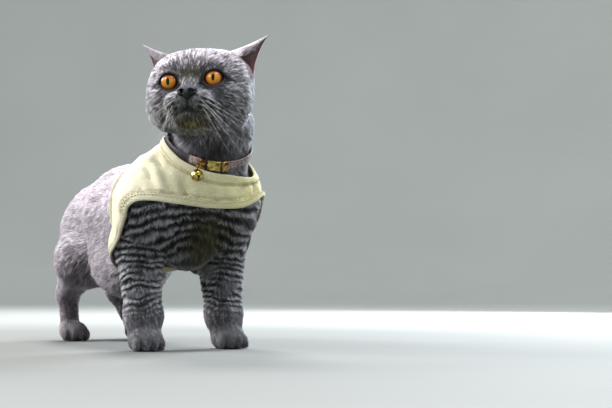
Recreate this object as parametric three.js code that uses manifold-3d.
// A blue British Shorthair cat standing on four paws, its head turned to its right and raised.
// It wears a cloth harness vest and a belled collar. Life size, in millimetres, +Z up.
// The cat faces -Y and its left is +X. The outline is that of the coat, not of the skin.
//
// The body is one smooth field of rounded masses: bones and muscles as ellipsoids and tapered limbs
// that melt into each other. The field is turned into a closed surface by surface nets, and thin
// plane cuts part it into head, neck, chest, belly, rump, tail and legs.
import * as THREE from "three";
import { mergeVertices } from "three/addons/utils/BufferGeometryUtils.js";
import Module from "manifold-3d";

const wasm = await Module();
wasm.setup();

// Driving sizes.
const GAP = 0.3; // between neighbouring pieces
const HEAD_AT = [2, -45, 271]; // the middle of the skull
const HEAD_TURN = -34; // degrees about Z, to the cat's right
const HEAD_LIFT = 7; // degrees, nose up
const HEAD_ROLL = 2; // degrees, the cat's left side up
const EYE_RADIUS = 11.2;
const EYE_AT = [23.6, -31.8, 4]; // the left eye, in the head's frame
const EAR_TIP = [72, 17, 66]; // the left ear's, in the head's frame, as are its curves
const EAR_FRONT = [[42, -6, 36], [55, -3.5, 42]]; // an edge's root, and the point that bends it
const EAR_BACK = [[51.5, 16, 24], [50, 22.5, 51]];
const EAR_SPINE = [[34, 12, 50], [55, 7.5, 55]];
const EAR_THICK = 2.6;
const VEST_IN = 1.4; // from the coat's surface to the back of the cloth
const VEST_OUT = 3.4; // and to its front
const COLLAR_MID = [20, -24, 219]; // the middle of the collar's ring
const COLLAR_SLOPE = 0.65; // it hangs low at the throat
const COLLAR_WIDTH = 9;
const COLLAR_THICK = 2.2;
const COLLAR_LEVEL = 0.8; // of its middle, over the coat's surface
const BELL_RADIUS = 6.5;

const SIDES = { left: 1, right: -1 };
const { sin, cos, PI, hypot, max, min, abs } = Math;
const rad = THREE.MathUtils.degToRad;

// ---------------------------------------------------------------- the field of masses

// An ellipsoid turned by Euler angles in degrees, as a signed distance.
function lump(at, radii, { turn = [0, 0, 0], blend = 16 } = {}) {
  const back = new THREE.Matrix4()
    .makeRotationFromEuler(new THREE.Euler(...turn.map(rad)))
    .setPosition(...at)
    .invert().elements;
  const [rx, ry, rz] = radii;
  const distance = (x, y, z) => {
    const u = (back[0] * x + back[4] * y + back[8] * z + back[12]) / rx;
    const v = (back[1] * x + back[5] * y + back[9] * z + back[13]) / ry;
    const w = (back[2] * x + back[6] * y + back[10] * z + back[14]) / rz;
    const near = hypot(u, v, w);
    return (near * (near - 1)) / max(hypot(u / rx, v / ry, w / rz), 1e-6);
  };
  return { distance, blend };
}

// A limb from one point to another, tapering from one radius to the other.
function limb(from, to, fromRadius, toRadius, { blend = 14 } = {}) {
  const [ax, ay, az] = from;
  const along = to.map((v, i) => v - from[i]);
  const square = along[0] ** 2 + along[1] ** 2 + along[2] ** 2;
  const distance = (x, y, z) => {
    const px = x - ax;
    const py = y - ay;
    const pz = z - az;
    const t = min(1, max(0, (px * along[0] + py * along[1] + pz * along[2]) / square));
    const far = hypot(px - t * along[0], py - t * along[1], pz - t * along[2]);
    return far - (fromRadius + t * (toRadius - fromRadius));
  };
  return { distance, blend };
}

// The masses as one field, negative inside. A mass with a wide blend melts further into the others.
function melt(masses) {
  return (x, y, z) => {
    let all = 1e9;
    for (const { distance, blend } of masses) {
      const one = distance(x, y, z);
      const near = max(blend - abs(all - one), 0) / blend;
      all = min(all, one) - (near * near * blend) / 4;
    }
    return all;
  };
}

const mirrored = (make) => Object.values(SIDES).flatMap((side) => make(side));

// ---------------------------------------------------------------- the head

// Its frame has the skull's middle as origin, the nose towards -Y and the crown towards +Z.
const headFrame = new THREE.Matrix4()
  .makeRotationZ(rad(HEAD_TURN))
  .multiply(new THREE.Matrix4().makeRotationX(rad(-HEAD_LIFT)))
  .multiply(new THREE.Matrix4().makeRotationY(rad(-HEAD_ROLL)))
  .setPosition(...HEAD_AT);

const headField = melt([
  lump([0, 8, 7], [49, 45, 38.5]), // cranium
  lump([0, -18, 16], [37, 25, 24], { blend: 20 }), // forehead
  ...mirrored((side) => [
    lump([side * 25, 4, 12], [30, 34, 30.5], { blend: 14 }), // temple
    lump([side * 30, -6, -12], [27, 29, 31], { blend: 16 }), // cheek
    lump([side * 25, -24, -13], [20, 18, 19], { blend: 12 }), // under the eye
    lump([side * 21, -34, 20], [15, 9, 7], { turn: [0, side * 12, side * -18], blend: 10 }), // brow
    lump([side * 12.5, -43, -20], [15, 13, 11.5], { blend: 6 }), // whisker pad
  ]),
  lump([0, -37, -3], [10.5, 17, 10], { turn: [14, 0, 0], blend: 10 }), // bridge of the nose
  lump([0, -49.5, -12], [8, 6.5, 6], { blend: 5 }), // tip of the nose
  lump([0, -37, -34], [15, 13, 11], { blend: 8 }), // chin
  lump([0, -18, -32], [30, 26, 19], { blend: 16 }), // lower jaw
]);

const toHead = headFrame.clone().invert().elements;
const skull = {
  blend: 16,
  distance: (x, y, z) =>
    headField(
      toHead[0] * x + toHead[4] * y + toHead[8] * z + toHead[12],
      toHead[1] * x + toHead[5] * y + toHead[9] * z + toHead[13],
      toHead[2] * x + toHead[6] * y + toHead[10] * z + toHead[14],
    ),
};

// ---------------------------------------------------------------- the trunk and legs

const trunk = [
  lump([0, 66, 149], [65, 96, 60]), // rib cage
  lump([4, -6, 159], [62, 47, 58], { blend: 24 }), // breast
  lump([2, 0, 122], [32, 36, 37], { blend: 20 }), // long hair between the forelegs
  lump([8, 44, 188], [32, 52, 24], { blend: 24 }), // withers
  lump([-8, 176, 149], [56, 98, 63], { blend: 26 }), // loin and belly
  lump([-14, 158, 95], [44, 88, 43], { blend: 24 }), // low underbelly
  lump([-18, 226, 102], [34, 46, 34], { blend: 20 }), // groin
  lump([-19, 258, 149], [44, 58, 47], { turn: [0, 0, 6], blend: 24 }), // rump
  ...mirrored((side) => [
    lump([4 + side * 41, 0, 158], [31, 38, 47], { turn: [-14, 0, 0], blend: 20 }), // shoulder
  ]),
];

const neck = [limb([14, -10, 186], [25, -30, 238], 50, 41, { blend: 14 })];

// Each foot's spot on the floor: the right forefoot and the left hind foot stand a step ahead.
const FORE = { right: { x: -49, y: -12 }, left: { x: 50, y: 8 } };
const HIND = {
  right: { x: -52, y: 284, hock: [-53, 306, 58] },
  left: { x: 27, y: 266, hock: [9, 300, 62] },
};
const HIPS_X = -19; // the hips swing to the cat's right

// The paw's pad and its four toes, resting on the floor.
function paw({ x, y }, length, side) {
  const toes = [-1.5, -0.5, 0.5, 1.5].map((k) =>
    lump(
      [x + k * 8.2 + side * 0.8, y - length + 2 * k * k - 4, 7.5],
      [5.6, 10, 9],
      { turn: [12, 0, k * 7], blend: 3.5 },
    ),
  );
  return [lump([x, y - length / 2, 11.5], [17.5, length / 2 + 12, 13.5], { blend: 10 }), ...toes];
}

function foreleg(name) {
  const side = SIDES[name];
  const { x, y } = FORE[name];
  return [
    limb([side * 44, -14, 150], [x * 1.04, y + 27, 108], 33, 27.5, { blend: 20 }), // upper arm
    limb([x * 1.04, y + 25, 106], [x * 0.98, y + 4, 36], 27.5, 19.8, { blend: 16 }), // forearm
    limb([x * 0.98, y + 4, 36], [x, y - 4, 14], 19.8, 15.8, { blend: 10 }), // wrist
    ...paw({ x, y }, 20, side),
  ];
}

function hindleg(name) {
  const side = SIDES[name];
  const { x, y, hock } = HIND[name];
  const knee = [HIPS_X + side * 34, y - 50, 98];
  return [
    limb([HIPS_X + side * 18, 260, 132], knee, 35, 30, { blend: 22 }), // thigh
    limb(knee, hock, 30, 13.5, { blend: 18 }), // shank
    limb(hock, [x, y + 12, 18], 13, 12.5, { blend: 12 }), // hock and foot
    ...paw({ x, y: y + 8 }, 28, side),
  ];
}

const TAIL = [
  // Its bones' places, from the rump down, and the coat's radius there.
  { at: [-19, 306, 166], radius: 21 },
  { at: [-14, 336, 150], radius: 17 },
  { at: [2, 352, 118], radius: 15 },
  { at: [22, 352, 84], radius: 14.5 },
  { at: [38, 345, 55], radius: 13.5 },
  { at: [50, 333, 32], radius: 12.5 },
  { at: [54, 314, 18], radius: 9 },
];
const tail = TAIL.slice(1).map(({ at, radius }, i) =>
  limb(TAIL[i].at, at, TAIL[i].radius, radius, { blend: 8 }),
);

const body = melt([
  ...trunk,
  ...neck,
  ...["left", "right"].flatMap((name) => [...foreleg(name), ...hindleg(name)]),
  ...tail,
  skull,
]);

// ---------------------------------------------------------------- fields to solids

// A closed geometry as a manifold-3d solid.
function solidOf(geometry) {
  const bare = geometry.clone();
  bare.deleteAttribute("normal");
  bare.deleteAttribute("uv");
  const merged = mergeVertices(bare, 1e-4);
  return new wasm.Manifold(
    new wasm.Mesh({
      numProp: 3,
      vertProperties: merged.attributes.position.array,
      triVerts: new Uint32Array(merged.index.array),
    }),
  );
}

function geometryOf(solid) {
  const { vertProperties, triVerts } = solid.getMesh();
  return new THREE.BufferGeometry()
    .setAttribute("position", new THREE.BufferAttribute(Float32Array.from(vertProperties), 3))
    .setIndex(new THREE.BufferAttribute(Uint32Array.from(triVerts), 1));
}

// Surface nets: one vertex for each sheet of the surface in a grid cell, one quad across each grid
// edge that the surface crosses. The box is [[low x, y, z], [high x, y, z]], and the surface is
// closed along it.
function surfaceNets(field, [low, high], step) {
  const cells = low.map((v, i) => Math.ceil((high[i] - v) / step[i]) + 2);
  const points = cells.map((n) => n + 1);
  const at = (i, axis) => low[axis] + (i - 1) * step[axis];
  const index = (i, j, k) => (k * points[1] + j) * points[0] + i;
  const value = new Float32Array(points[0] * points[1] * points[2]);
  const onRim = (i, n) => i === 0 || i === n - 1;
  for (let k = 0; k < points[2]; k++)
    for (let j = 0; j < points[1]; j++)
      for (let i = 0; i < points[0]; i++) {
        const rim = onRim(i, points[0]) || onRim(j, points[1]) || onRim(k, points[2]);
        value[index(i, j, k)] = rim ? step[0] / 2 : field(at(i, 0), at(j, 1), at(k, 2));
      }

  // A cell's corner is three bits, and its edge is named by its low corner and its axis.
  const edgeName = (corner, axis) => corner * 3 + axis;
  const FACES = [];
  for (let axis = 0; axis < 3; axis++)
    for (const side of [0, 1 << axis]) {
      const u = 1 << ((axis + 1) % 3);
      const v = 1 << ((axis + 2) % 3);
      FACES.push([side, side | u, side | u | v, side | v]);
    }
  const edgeBetween = (a, b) => edgeName(a & b, Math.log2(a ^ b));
  const positions = [];
  const vertexOf = new Map();
  for (let k = 0; k < cells[2]; k++)
    for (let j = 0; j < cells[1]; j++)
      for (let i = 0; i < cells[0]; i++) {
        const spot = (c) => [i + (c & 1), j + ((c >> 1) & 1), k + ((c >> 2) & 1)];
        const corner = [0, 1, 2, 3, 4, 5, 6, 7].map((c) => value[index(...spot(c))]);
        if (corner.every((v) => v < 0) || corner.every((v) => v >= 0)) continue;
        // Crossed edges that a face joins belong to one sheet.
        const sheet = new Map();
        for (let c = 0; c < 8; c++)
          for (let axis = 0; axis < 3; axis++)
            if (!(c & (1 << axis)) && corner[c] < 0 !== corner[c | (1 << axis)] < 0)
              sheet.set(edgeName(c, axis), edgeName(c, axis));
        const join = (a, b) => {
          const [from, to] = [sheet.get(a), sheet.get(b)];
          for (const [edge, of] of sheet) if (of === from) sheet.set(edge, to);
        };
        for (const face of FACES) {
          const inside = face.map((c) => corner[c] < 0);
          const edges = face.map((c, n) => edgeBetween(c, face[(n + 1) % 4]));
          const crossed = edges.filter((e) => sheet.has(e));
          if (crossed.length === 2) join(...crossed);
          if (crossed.length === 4)
            inside.forEach((isIn, n) => isIn && join(edges[n], edges[(n + 3) % 4]));
        }
        for (const root of new Set(sheet.values())) {
          const sum = [0, 0, 0];
          let count = 0;
          for (const [edge, of] of sheet) {
            if (of !== root) continue;
            const axis = edge % 3;
            const a = (edge - axis) / 3;
            const b = a | (1 << axis);
            const t = corner[a] / (corner[a] - corner[b]);
            const from = spot(a);
            for (let n = 0; n < 3; n++)
              sum[n] += at(from[n], n) + (n === axis ? t * step[n] : 0);
            vertexOf.set(index(i, j, k) * 24 + edge, positions.length / 3);
            count++;
          }
          positions.push(...sum.map((s) => s / count));
        }
      }

  const faces = [];
  for (let k = 0; k < cells[2]; k++)
    for (let j = 0; j < cells[1]; j++)
      for (let i = 0; i < cells[0]; i++)
        for (let axis = 0; axis < 3; axis++) {
          const here = [i, j, k];
          const next = [...here];
          next[axis]++;
          const inside = value[index(...here)] < 0;
          if (inside === value[index(...next)] < 0) continue;
          const u = (axis + 1) % 3;
          const v = (axis + 2) % 3;
          const round = [[0, 0], [1, 0], [1, 1], [0, 1]].map(([du, dv]) => {
            const cell = [...here];
            cell[u] -= du;
            cell[v] -= dv;
            return vertexOf.get(index(...cell) * 24 + edgeName((du << u) | (dv << v), axis));
          });
          const [a, b, c, d] = inside ? round : round.reverse();
          faces.push(a, b, c, a, c, d);
        }
  return new THREE.BufferGeometry()
    .setAttribute("position", new THREE.Float32BufferAttribute(positions, 3))
    .setIndex(faces);
}

// Moves each vertex along the body's slope until the field has that value there. A vertex on the
// box's own faces stays where the grid put it.
function settled(geometry, [low, high], value = 0) {
  const moved = geometry.clone();
  const spots = moved.attributes.position;
  const E = 0.5;
  for (let i = 0; i < spots.count; i++) {
    let [x, y, z] = [spots.getX(i), spots.getY(i), spots.getZ(i)];
    if ([x, y, z].some((v, axis) => v < low[axis] + 0.1 || v > high[axis] - 0.1)) continue;
    for (let turn = 0; turn < 3; turn++) {
      const slope = [
        body(x + E, y, z) - body(x - E, y, z),
        body(x, y + E, z) - body(x, y - E, z),
        body(x, y, z + E) - body(x, y, z - E),
      ].map((d) => d / (2 * E));
      const steep = slope[0] ** 2 + slope[1] ** 2 + slope[2] ** 2 || 1;
      const miss = (body(x, y, z) - value) / steep;
      x -= slope[0] * miss;
      y -= slope[1] * miss;
      z -= slope[2] * miss;
    }
    spots.setXYZ(i, x, y, z);
  }
  return moved;
}

const bodyIn = (box, step) => solidOf(settled(surfaceNets(body, box, step), box));

// A solid through loops of points, closed into a ring, or capped at both ends by joining each point
// of the end loop to the one across from it.
function loft(loops, { ring = false } = {}) {
  const n = loops[0].length;
  const faces = [];
  const quad = (a, b, c, d) => faces.push(a, b, c, a, c, d);
  loops.forEach((_, row) => {
    const next = (row + 1) % loops.length;
    if (next === 0 && !ring) return;
    for (let i = 0; i < n; i++) {
      const j = (i + 1) % n;
      quad(row * n + i, row * n + j, next * n + j, next * n + i);
    }
  });
  if (!ring)
    for (let i = 0; i < n / 2 - 1; i++) {
      const last = (loops.length - 1) * n;
      quad(n - 1 - i, n - 2 - i, i + 1, i);
      quad(last + i, last + i + 1, last + n - 2 - i, last + n - 1 - i);
    }
  const geometry = new THREE.BufferGeometry()
    .setFromPoints(loops.flat())
    .setIndex(faces);
  const solid = solidOf(geometry);
  if (solid.volume() > 0) return solid;
  return solidOf(geometry.setIndex(faces.reverse()));
}

// ---------------------------------------------------------------- cutting regions

const BIG = 900;

// All that lies behind a plane, seen from where its normal points, as a big box.
function behind(point, normal, grow = 0) {
  const block = new THREE.BoxGeometry(BIG, BIG, BIG);
  block.translate(0, 0, grow - BIG / 2);
  const up = new THREE.Vector3(0, 0, 1);
  const towards = new THREE.Vector3(...normal).normalize();
  block.applyQuaternion(new THREE.Quaternion().setFromUnitVectors(up, towards));
  block.translate(...point);
  return solidOf(block);
}

// The space behind all of these planes. A cut gives half a gap to each side.
const region = (...planes) => (grow) =>
  planes.map(([point, normal]) => behind(point, normal, grow)).reduce((a, b) => a.intersect(b));

// What lies inside a region and what lies outside it, with a gap between.
const inside = (solid, where) => solid.intersect(where(-GAP / 2));
const outside = (solid, where) => solid.subtract(where(GAP / 2));

const headSide = region([[8, -32, 240], [-0.1, 0.66, -0.75]]);
const neckSide = region([[8, -30, 196], [0, 0.45, -0.89]]);
const frontSide = region([[0, 98, 0], [0, 1, 0]]);
const rearSide = region([[0, 204, 0], [0, -1, 0]]);
const aboveFloor = region([[0, 0, -GAP / 2], [0, 0, -1]]);

const foreSide = (side) =>
  region(
    [[side * 21, 0, 90], [-side, 0, 0.1]],
    [[side * 24, 0, 92], [-side * 0.66, 0, 0.75]],
    [[0, 62, 90], [0, 1, 0]],
  );
const hindSide = (side) =>
  region(
    [[HIPS_X + side * 7, 0, 90], [-side, 0, 0.1]],
    [[HIPS_X + side * 7, 0, 88], [-side * 0.6, 0, 0.8]],
    [[0, 198, 90], [0, -1, -0.25]],
  );
const tailSide = region(
  [[-20, 322, 156], [0, -0.8, 0.6]],
  [[0, 322, 60], [-0.35, -1, -0.1]],
  [[-37, 0, 0], [-1, 0, 0]],
);

// ---------------------------------------------------------------- meshes

const finishes = {
  fur: new THREE.MeshStandardMaterial({ color: 0x55565f, roughness: 0.85 }),
  eye: new THREE.MeshStandardMaterial({ color: 0xc06a08, roughness: 0.08 }),
  nose: new THREE.MeshStandardMaterial({ color: 0x2b2b30, roughness: 0.45 }),
  cloth: new THREE.MeshStandardMaterial({ color: 0xd8d0a8, roughness: 0.9 }),
  strap: new THREE.MeshStandardMaterial({ color: 0x4c4048, roughness: 0.6 }),
  metal: new THREE.MeshStandardMaterial({ color: 0xc79a3a, roughness: 0.25, metalness: 1 }),
};

const cat = new THREE.Group();

// One piece. A crumb that a cut leaves beside it is dropped.
function add(name, solid, finish) {
  const [largest] = solid.decompose().sort((a, b) => b.volume() - a.volume());
  const mesh = new THREE.Mesh(geometryOf(largest), finishes[finish]);
  mesh.name = name;
  cat.add(mesh);
}

// The trunk's surface, and the same surface moved in or out under the vest.
const trunkBox = [[-112, -110, 42], [112, 350, 262]];
const trunkGeometry = surfaceNets(body, trunkBox, [21, 28, 21]);
const trunkAt = (value) => solidOf(settled(trunkGeometry, trunkBox, value));

// ---------------------------------------------------------------- the collar

const collarMid = new THREE.Vector3(...COLLAR_MID);
const COLLAR_SPOTS = 22;

// The coat's surface in the collar's plane, at an angle from the throat towards the cat's left.
function onCollar(degrees, level) {
  const away = new THREE.Vector3(sin(rad(degrees)), -cos(rad(degrees)), 0);
  away.z = COLLAR_SLOPE * away.y;
  const spot = collarMid.clone();
  while (body(...spot) < level) spot.addScaledVector(away, 0.25);
  return spot;
}

// A frame on the collar: x along it, y up across it, z out of the neck.
function collarFrame(degrees, level) {
  const along = onCollar(degrees + 4, level).sub(onCollar(degrees - 4, level)).normalize();
  const up = new THREE.Vector3(0, -COLLAR_SLOPE, 1).normalize();
  const out = new THREE.Vector3().crossVectors(along, up).normalize();
  up.crossVectors(out, along);
  return new THREE.Matrix4().makeBasis(along, up, out).setPosition(onCollar(degrees, level));
}

// The strap, made wider by `grow` all round, with `clear` more in front of it.
function strap(grow, clear = 0) {
  const across = COLLAR_WIDTH / 2 + grow;
  const back = -COLLAR_THICK / 2 - grow;
  const front = COLLAR_THICK / 2 + grow + clear;
  const flare = across + clear / 2;
  const corners = [[-across, back], [across, back], [flare, front], [-flare, front]];
  const loops = Array.from({ length: COLLAR_SPOTS }, (_, i) => {
    const frame = collarFrame((i * 360) / COLLAR_SPOTS, COLLAR_LEVEL);
    return corners.map(([up, out]) => new THREE.Vector3(0, up, out).applyMatrix4(frame));
  });
  return loft(loops, { ring: true });
}

// A block with round corners, its back on the strap.
function onStrap(degrees, wide, high, thick) {
  const corner = 1.2;
  const outline = new THREE.Shape();
  for (const [i, [sx, sy]] of [[1, 1], [-1, 1], [-1, -1], [1, -1]].entries())
    outline.absarc(sx * (wide / 2 - corner), sy * (high / 2 - corner), corner,
      (i * PI) / 2, ((i + 1) * PI) / 2);
  const block = new THREE.ExtrudeGeometry(outline, {
    depth: thick, bevelEnabled: false, curveSegments: 1,
  });
  block.translate(0, 0, COLLAR_THICK / 2 + GAP);
  return solidOf(block.applyMatrix4(collarFrame(degrees, COLLAR_LEVEL)));
}

const collarStrap = strap(0);
const collarGroove = strap(GAP, 5);
add("collar_strap", collarStrap, "strap");
add("collar_keeper", onStrap(-30, 7, 11.5, 3), "metal");
add("collar_plate", onStrap(-13.5, 14.5, 11, 2.6), "metal");
add("collar_clasp", onStrap(3.5, 8.6, 12, 3.4), "metal");

// The bell hangs from the keeper on a small ring. It is a ball with a slit across its underside.
const bellAt = onCollar(-34, VEST_OUT + BELL_RADIUS + 1);
bellAt.z -= 12;
while (body(...bellAt) < VEST_OUT + BELL_RADIUS + 1) bellAt.y -= 0.25;
const ball = new THREE.SphereGeometry(BELL_RADIUS, 10, 7).translate(...bellAt);
const slit = new THREE.BoxGeometry(1.3, 20, BELL_RADIUS).translate(
  bellAt.x, bellAt.y, bellAt.z - BELL_RADIUS / 2);
const core = new THREE.SphereGeometry(BELL_RADIUS - 2.2, 6, 4).translate(...bellAt);
add("bell", solidOf(ball).subtract(solidOf(slit).subtract(solidOf(core))), "metal");
const bellRing = new THREE.TorusGeometry(1.9, 0.6, 4, 8).rotateY(PI / 2);
bellRing.translate(bellAt.x, bellAt.y, bellAt.z + BELL_RADIUS + 2.5 + GAP);
add("bell_ring", solidOf(bellRing), "metal");

// ---------------------------------------------------------------- the vest

// Its outline from the cat's left, as [y, z] at the middle: the neck edge, the rear edge, the strap
// under the belly, the arm hole and the front hem.
const spots = (...pairs) => pairs.map(([y, z]) => new THREE.Vector2(y, z));
const VEST_REACH = 100;
const vestOutline = new THREE.Shape()
  .moveTo(-110, 158)
  .splineThru(spots([-70, 182.5], [-57, 191], [-24, 215], [10, 226], [42, 232], [94, 250]))
  .splineThru(spots([84, 206], [64, 150], [56, 100]))
  .lineTo(55, 76)
  .lineTo(34, 76)
  .splineThru(spots([22, 92], [4, 104], [-18, 122], [-30, 134]))
  .quadraticCurveTo(-33, 148, -46, 152)
  .splineThru(spots([-58, 153], [-76, 146], [-110, 133]));

// The outline swept across the body. It sits turned, further back on the cat's left, and the hem
// hangs lowest in the middle.
const vestBlock = new THREE.ExtrudeGeometry(vestOutline, {
  depth: 2 * VEST_REACH, steps: 3, bevelEnabled: false, curveSegments: 2,
});
vestBlock.translate(0, 0, -VEST_REACH);
const corners = vestBlock.attributes.position;
for (let i = 0; i < corners.count; i++) {
  const [y, z, x] = [corners.getX(i), corners.getY(i), corners.getZ(i)];
  const low = THREE.MathUtils.clamp((190 - z) / 30, 0, 1);
  const hang = low * (0.05 * x + 0.0014 * x * x - 2);
  corners.setXYZ(i, x, y + 0.16 * x + 8.8, z - 0.05 * x + 1.1 + hang);
}
const vestSpace = solidOf(vestBlock);

const foreBox = ({ x, y }) => [[x - 60, y - 70, 6], [x + 60, y + 80, 160]];
const LEG_STEP = [14, 15, 17];
const cloth = trunkAt(VEST_OUT).intersect(vestSpace).subtract(trunkAt(VEST_IN));
const looseCloth = ["left", "right"].reduce((rest, name) => {
  const box = foreBox(FORE[name]);
  const shoulder = solidOf(settled(surfaceNets(body, box, LEG_STEP), box, GAP));
  return rest.subtract(inside(shoulder, foreSide(SIDES[name])));
}, cloth);
add("vest", looseCloth.subtract(collarGroove), "cloth");

// ---------------------------------------------------------------- the trunk

const trunkSolid = outside(trunkAt(0).subtract(collarGroove), headSide);
const sansLegs = ["left", "right"].reduce(
  (rest, name) => outside(outside(rest, foreSide(SIDES[name])), hindSide(SIDES[name])),
  outside(trunkSolid, tailSide),
);
add("neck", inside(sansLegs, neckSide), "fur");
const torso = outside(sansLegs, neckSide);
add("chest", inside(torso, frontSide), "fur");
add("belly", outside(outside(torso, frontSide), rearSide), "fur");
add("rump", inside(torso, rearSide), "fur");

// ---------------------------------------------------------------- the legs

const belowWrist = region([[0, 0, 27], [0, 0, 1]]);

// One leg's solid down to the paw, and the paw on the floor.
function leg(name, part, { x, y }, box, where) {
  const pawBox = [[x - 32, y - 54, -3], [x + 32, y + 36, 40]];
  const paw = inside(bodyIn(pawBox, [8.4, 9.2, 8.4]), belowWrist);
  add(`${part}paw_${name}`, inside(paw, aboveFloor), "fur");
  const sansTail = outside(bodyIn(box, LEG_STEP), tailSide);
  return outside(inside(sansTail, where), belowWrist);
}

for (const [name, side] of Object.entries(SIDES)) {
  const fore = FORE[name];
  add(`foreleg_${name}`, leg(name, "fore", fore, foreBox(fore), foreSide(side)), "fur");
  const hind = HIND[name];
  const hindBox = [[hind.x - 64, 180, 6], [hind.x + 64, 350, 150]];
  const hindleg = leg(name, "hind", hind, hindBox, hindSide(side));
  const belowKnee = region([[0, hind.y, 76], [0, 0.5, 1]]);
  add(`hindleg_${name}_thigh`, outside(hindleg, belowKnee), "fur");
  add(`hindleg_${name}_shank`, inside(hindleg, belowKnee), "fur");
}

// ---------------------------------------------------------------- the tail

const tailSolid = inside(bodyIn([[-62, 296, 4], [72, 384, 196]], [11, 11, 14]), tailSide);
const belowBend = region([[30, 349, 70], [-0.48, 0.2, 0.86]]);
add("tail_root", outside(tailSolid, belowBend), "fur");
add("tail_tip", inside(tailSolid, belowBend), "fur");

// ---------------------------------------------------------------- the head

const headBox = [[-82, -128, 186], [92, 50, 334]];
const headGeometry = surfaceNets(body, headBox, [10.8, 10.8, 10.8]);
let head = inside(solidOf(settled(headGeometry, headBox)), headSide).subtract(collarGroove);

const ellipsoid = ([x, y, z], [rx, ry, rz], wide, high) =>
  new THREE.SphereGeometry(1, wide, high).scale(rx, ry, rz).translate(x, y, z).applyMatrix4(headFrame);

for (const [name, side] of Object.entries(SIDES)) {
  const at = [side * EYE_AT[0], EYE_AT[1], EYE_AT[2]];
  const ball = (r) => solidOf(ellipsoid(at, [r, r, r], 11, 7));
  const lids = solidOf(ellipsoid([at[0], at[1] - 12, at[2]], [10, 8, 8], 10, 6));
  head = head.subtract(ball(EYE_RADIUS + GAP)).subtract(lids);
  add(`eye_${name}`, ball(EYE_RADIUS), "eye");
}

const NOSE_AT = [0, -52.4, -13.4];
const noseBall = (grow) => solidOf(ellipsoid(NOSE_AT, [8.6, 4.4, 6].map((r) => r + grow), 10, 6));
head = head.subtract(noseBall(GAP));
add("nose", noseBall(0), "nose");

// An ear is a curved sheet. Its front and back edges bound the opening, the spine is the ridge of its
// back, and all three run to the tip. Each row of it is half an ellipse from edge to edge.
function ear(side) {
  const along = ([root, pull], u) => new THREE.Vector3(
    ...root.map((v, i) => (1 - u) ** 2 * v + 2 * u * (1 - u) * pull[i] + u * u * EAR_TIP[i]),
  );
  const ROWS = 5;
  const HALF = 2;
  const [LOWEST, HIGHEST] = [-0.25, 0.97];
  const loops = [];
  for (let row = 0; row <= ROWS; row++) {
    const u = LOWEST + ((HIGHEST - LOWEST) * row) / ROWS;
    const front = along(EAR_FRONT, u);
    const middle = front.clone().lerp(along(EAR_BACK, u), 0.5);
    const half = front.sub(middle);
    const rise = along(EAR_SPINE, u).sub(middle);
    const [wide, deep] = [half, rise].map((v) => max(v.length(), 1.9));
    const thick = EAR_THICK - 1.2 * max(u, 0);
    const arc = (thin) => Array.from({ length: 2 * HALF + 1 }, (_, i) => {
      const turn = ((i - HALF) / HALF) * rad(90);
      return middle.clone()
        .addScaledVector(half, (-sin(turn) * (wide - thin)) / half.length())
        .addScaledVector(rise, (cos(turn) * (deep - thin)) / rise.length());
    });
    const loop = [...arc(0), ...arc(thick).reverse()].map((spot) => {
      spot.x *= side;
      return spot.applyMatrix4(headFrame);
    });
    loops.push(side > 0 ? loop : loop.reverse());
  }
  return loft(loops);
}

const aroundHead = solidOf(settled(headGeometry, headBox, GAP));
for (const [name, side] of Object.entries(SIDES)) {
  add(`ear_${name}`, ear(side).subtract(aroundHead), "fur");
}
add("head", head, "fur");

// The origin is on the floor, in the middle of the whole cat.
const bounds = new THREE.Box3().setFromObject(cat);
const middle = bounds.getCenter(new THREE.Vector3());
cat.position.set(-middle.x, -middle.y, -bounds.min.z);

export default cat;
